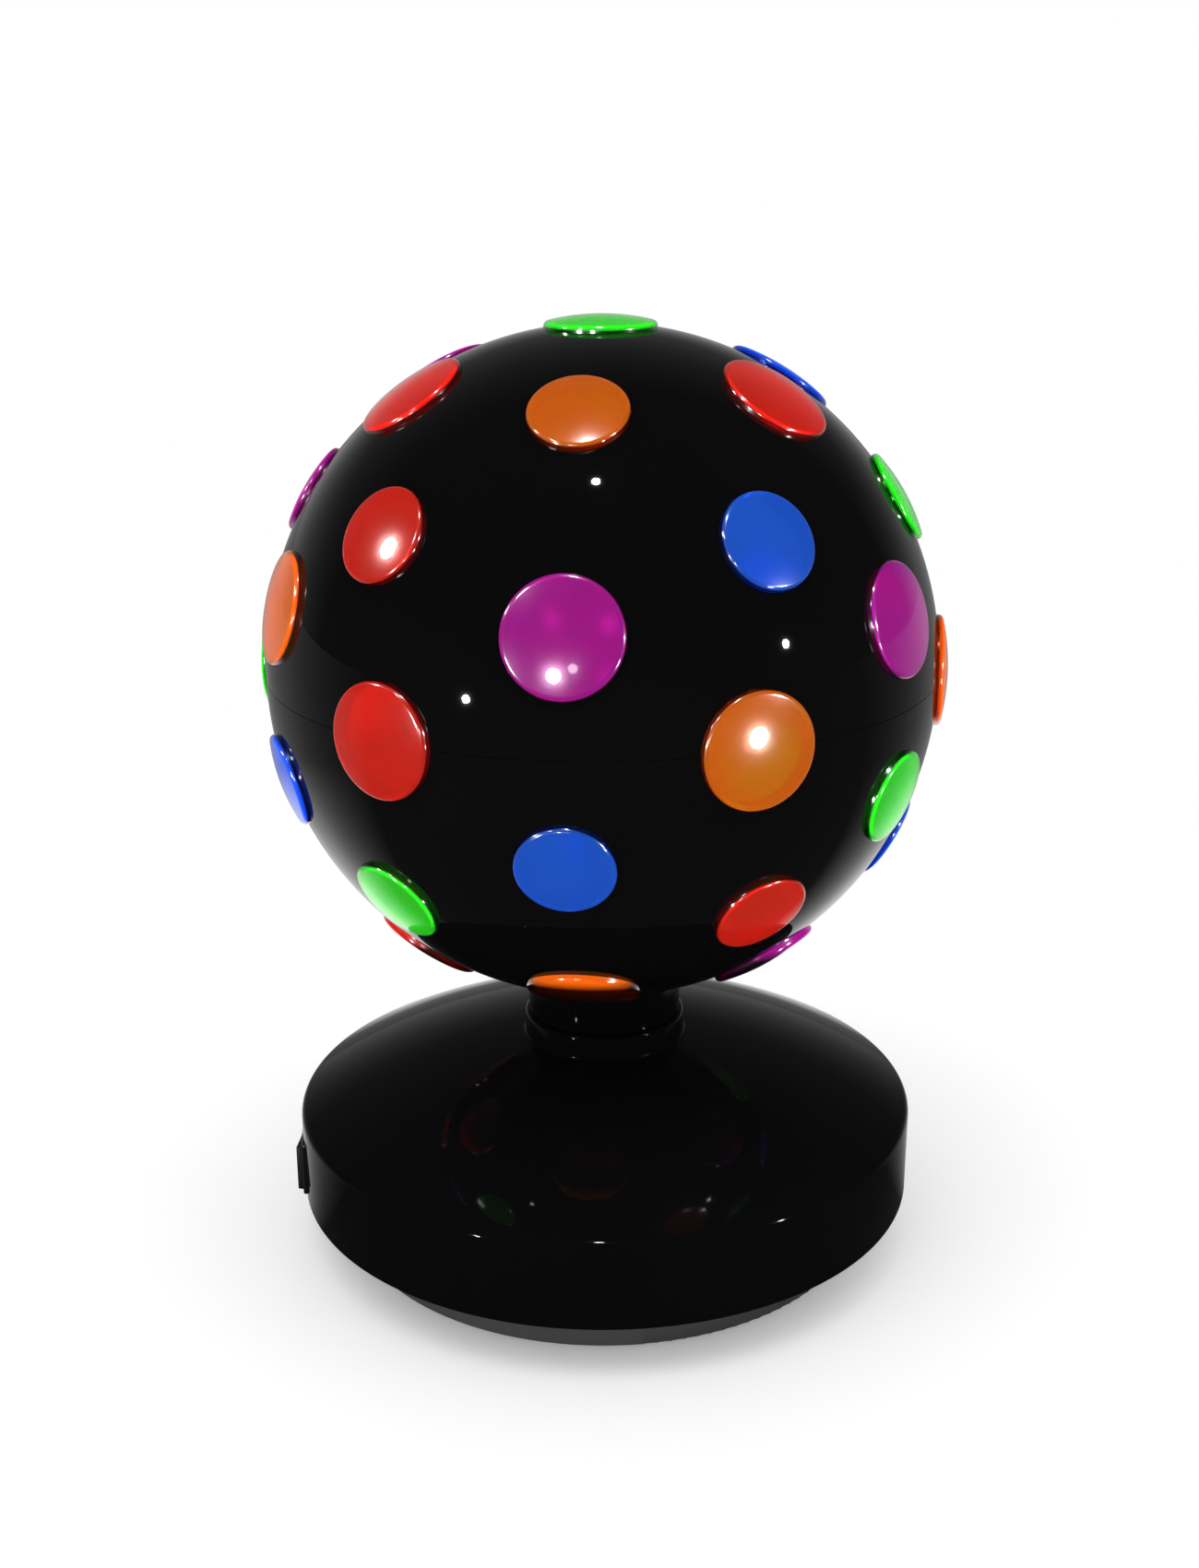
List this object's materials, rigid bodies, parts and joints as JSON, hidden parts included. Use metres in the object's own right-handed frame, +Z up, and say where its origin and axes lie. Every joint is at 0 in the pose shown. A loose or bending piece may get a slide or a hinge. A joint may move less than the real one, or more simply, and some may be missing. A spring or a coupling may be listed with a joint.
{
  "type": "disco light",
  "caption": "Glossy black lens ball that turns on a round domed base; round coloured lenses stand proud of the ball, with a rocker switch and power inlet in the base wall.",
  "frame": {"origin": "centre of the plane that the rubber feet stand on, on the ball's axis", "axes": "+Z up along the ball's axis of turning; the rocker switch faces -X and the power inlet +Y"},
  "size_m": [0.2036, 0.2014, 0.2877],
  "materials": {
    "ball_black": "gloss",
    "hub_black": "satin",
    "cover_black": "gloss",
    "plate_grey": "matte",
    "foot_rubber": "matte",
    "switch_black": "satin",
    "screw_steel": "plated",
    "post_steel": "ground",
    "bush_nylon": "matte",
    "gear_white": "matte",
    "motor_metal": "plated",
    "board_green": "satin",
    "board_white": "satin",
    "part_black": "matte",
    "plug_white": "matte",
    "coil_copper": "wound",
    "contact_brass": "plated",
    "core_aluminium": "satin",
    "emitter_yellow": "matte",
    "emitter_clear": "clear",
    "wire_rubber": "satin",
    "lens_red": "clear coloured",
    "lens_orange": "clear coloured",
    "lens_green": "clear coloured",
    "lens_blue": "clear coloured",
    "lens_purple": "clear coloured"
  },
  "bodies": {
    "base": {"base_cover": "cover_black", "base_plate": "plate_grey", "rubber_feet": "foot_rubber", "base_screws": "screw_steel", "lamp_post": "post_steel", "post_screws": "screw_steel", "thrust_washer": "bush_nylon", "post_clip": "screw_steel", "motor_can": "motor_metal", "motor_lid": "motor_metal", "motor_screws": "screw_steel", "driver_board": "board_green", "board_capacitor": "part_black", "board_chips": "part_black", "board_coil": "coil_copper", "board_connectors": "plug_white", "board_screws": "screw_steel", "switch_housing": "switch_black", "switch_blades": "contact_brass", "rocker_pin": "screw_steel", "jack_body": "part_black", "jack_nut": "screw_steel", "jack_pin": "contact_brass", "led_core": "core_aluminium", "core_screw": "screw_steel", "led_boards": "board_white", "led_emitters": "emitter_yellow", "led_domes": "emitter_clear", "switch_wires": "wire_rubber", "jack_wires": "wire_rubber", "motor_wires": "wire_rubber", "lamp_wires": "wire_rubber"},
    "ball": {"ball_upper_shell": "ball_black", "ball_lower_shell": "ball_black", "neck_hub": "hub_black", "hub_gear": "gear_white", "hub_bushes": "bush_nylon", "hub_screws": "screw_steel", "gear_screws": "screw_steel", "red_lenses_upper": "lens_red", "orange_lenses_upper": "lens_orange", "green_lenses_upper": "lens_green", "blue_lenses_upper": "lens_blue", "purple_lenses_upper": "lens_purple", "red_lenses_equator": "lens_red", "orange_lenses_equator": "lens_orange", "green_lenses_equator": "lens_green", "blue_lenses_equator": "lens_blue", "purple_lenses_equator": "lens_purple", "red_lenses_lower": "lens_red", "orange_lenses_lower": "lens_orange", "green_lenses_lower": "lens_green", "blue_lenses_lower": "lens_blue", "purple_lenses_lower": "lens_purple"},
    "pinion": {"drive_pinion": "gear_white", "motor_shaft": "post_steel"},
    "rocker": {"switch_rocker": "switch_black"}
  },
  "joints": [
    {"name": "ball_spin", "type": "hinge", "parent": "base", "child": "ball", "pos_m": [0, 0, 0.1], "axis": [0, 0, 1], "continuous": true},
    {"name": "pinion_spin", "type": "hinge", "parent": "base", "child": "pinion", "pos_m": [0.04, 0, 0.04], "axis": [0, 0, 1], "continuous": true},
    {"name": "rocker_press", "type": "hinge", "parent": "base", "child": "rocker", "pos_m": [-0.095, 0, 0.02585], "axis": [0, 0, 1], "range_deg": [0, 16]}
  ],
  "couplings": [
    {"joint": "pinion_spin", "follows": "ball_spin", "ratio": -3}
  ]
}
